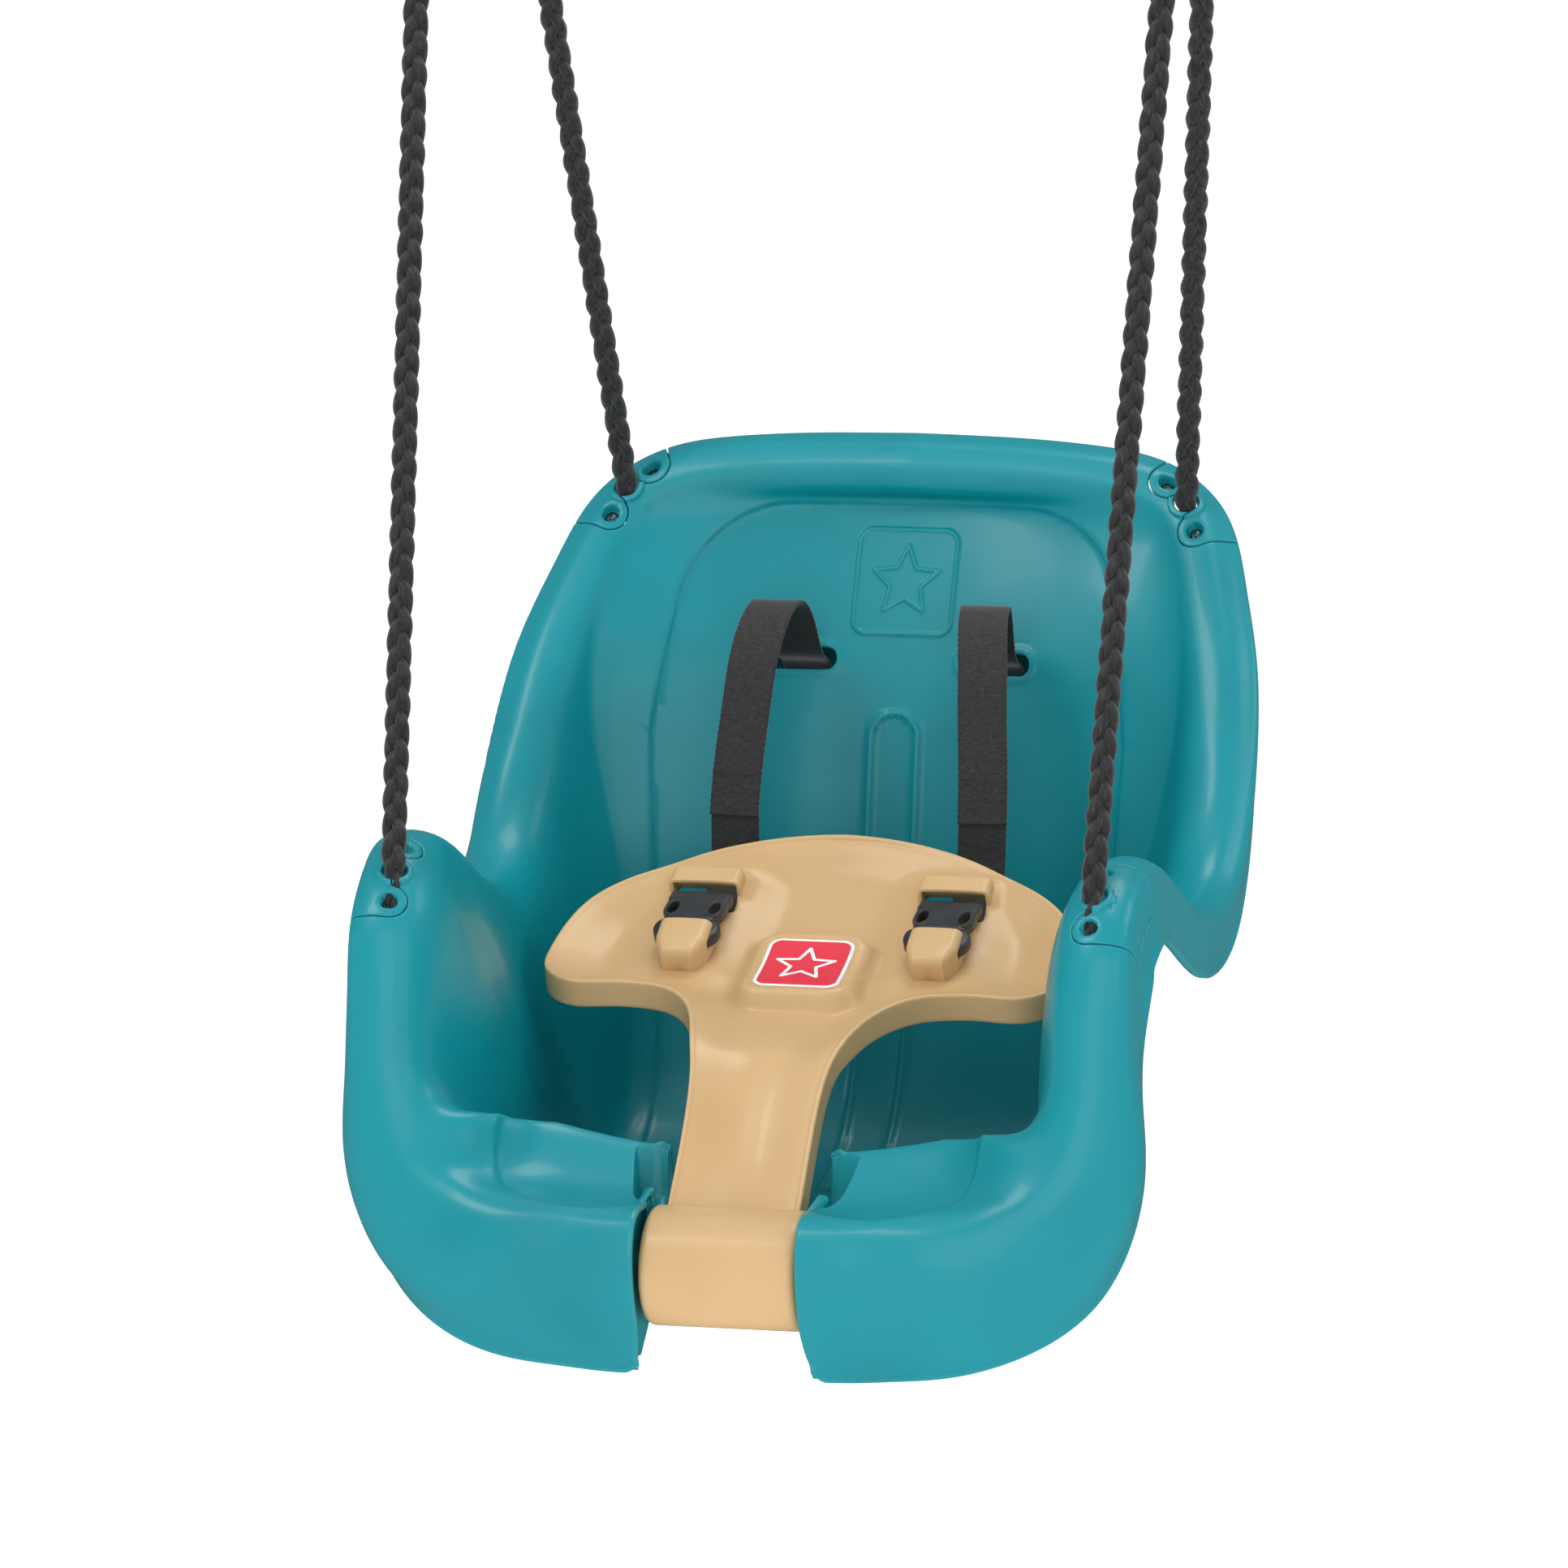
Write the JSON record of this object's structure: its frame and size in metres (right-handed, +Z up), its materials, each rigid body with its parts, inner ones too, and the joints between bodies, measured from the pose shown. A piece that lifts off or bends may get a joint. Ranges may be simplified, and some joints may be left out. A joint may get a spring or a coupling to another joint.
{
  "type": "toddler bucket swing",
  "caption": "Moulded high-back bucket swing seat on ropes, with a hinged T-shaped restraint bar and buckled shoulder straps.",
  "frame": {"origin": "centre of the bottom face of the bounding box of the whole swing at rest", "axes": "+Z up along the hang, +X across the seat to the right as seen from the front, front of the seat faces -Y"},
  "size_m": [0.456, 0.4563, 1.071],
  "materials": {
    "seat_shell": "moulded, fine grain",
    "clamps": "moulded, fine grain",
    "screws": "plated",
    "rope": "round braided polypropylene",
    "seizing": "moulded",
    "ring": "zinc plated round bar",
    "pin": "plated",
    "pin_cap": "moulded",
    "t_bar": "moulded, satin",
    "label": "printed sticker",
    "socket": "moulded, satin",
    "buckle": "moulded",
    "webbing": "woven"
  },
  "bodies": {
    "hanger": {"hanging_ring_left": "ring", "hanging_ring_right": "ring"},
    "t_bar": {"t_bar": "t_bar", "t_bar_label": "label", "buckle_socket_left": "socket", "buckle_socket_right": "socket"},
    "plug_left": {"buckle_plug_left": "buckle", "strap_loop_left": "webbing"},
    "arm_left_outer": {"buckle_arm_left_outer": "buckle"},
    "arm_left_inner": {"buckle_arm_left_inner": "buckle"},
    "plug_right": {"buckle_plug_right": "buckle", "strap_loop_right": "webbing"},
    "arm_right_outer": {"buckle_arm_right_outer": "buckle"},
    "arm_right_inner": {"buckle_arm_right_inner": "buckle"},
    "seat": {"clamp_screws": "screws", "front_clamp_left": "clamps", "front_clamp_right": "clamps", "hinge_pin": "pin", "hinge_pin_caps": "pin_cap", "rear_clamp_left": "clamps", "rear_clamp_right": "clamps", "rope_bight_left": "rope", "rope_bight_right": "rope", "rope_front_left": "rope", "rope_front_right": "rope", "rope_knots": "rope", "rope_rear_left": "rope", "rope_rear_right": "rope", "rope_seizing_left": "seizing", "rope_seizing_right": "seizing", "seat_shell": "seat_shell", "strap_adjuster_left": "buckle", "strap_adjuster_right": "buckle", "strap_left": "webbing", "strap_right": "webbing"}
  },
  "joints": [
    {"name": "swing_hinge", "type": "hinge", "parent": "hanger", "child": "seat", "pos_m": [0, -0.0003, 1.016], "axis": [1, 0, 0], "range_deg": [-45, 45]},
    {"name": "bar_hinge", "type": "hinge", "parent": "seat", "child": "t_bar", "pos_m": [0, -0.1933, 0.054], "axis": [1, 0, 0], "range_deg": [0, 140]},
    {"name": "plug_slide_left", "type": "slide", "parent": "t_bar", "child": "plug_left", "axis": [0, 0.8829, 0.4695], "range_m": [0, 0.01]},
    {"name": "arm_pinch_left_outer", "type": "hinge", "parent": "plug_left", "child": "arm_left_outer", "pos_m": [-0.07275, -0.01901, 0.19597], "axis": [0, -0.4695, 0.8829], "range_deg": [0, 5], "stiffness_Nm_per_rad": 0.4},
    {"name": "arm_pinch_left_inner", "type": "hinge", "parent": "plug_left", "child": "arm_left_inner", "pos_m": [-0.05625, -0.01901, 0.19597], "axis": [0, -0.4695, 0.8829], "range_deg": [-5, 0], "stiffness_Nm_per_rad": 0.4},
    {"name": "plug_slide_right", "type": "slide", "parent": "t_bar", "child": "plug_right", "axis": [0, 0.8829, 0.4695], "range_m": [0, 0.01]},
    {"name": "arm_pinch_right_outer", "type": "hinge", "parent": "plug_right", "child": "arm_right_outer", "pos_m": [0.07275, -0.01901, 0.19597], "axis": [0, -0.4695, 0.8829], "range_deg": [-5, 0], "stiffness_Nm_per_rad": 0.4},
    {"name": "arm_pinch_right_inner", "type": "hinge", "parent": "plug_right", "child": "arm_right_inner", "pos_m": [0.05625, -0.01901, 0.19597], "axis": [0, -0.4695, 0.8829], "range_deg": [0, 5], "stiffness_Nm_per_rad": 0.4}
  ]
}
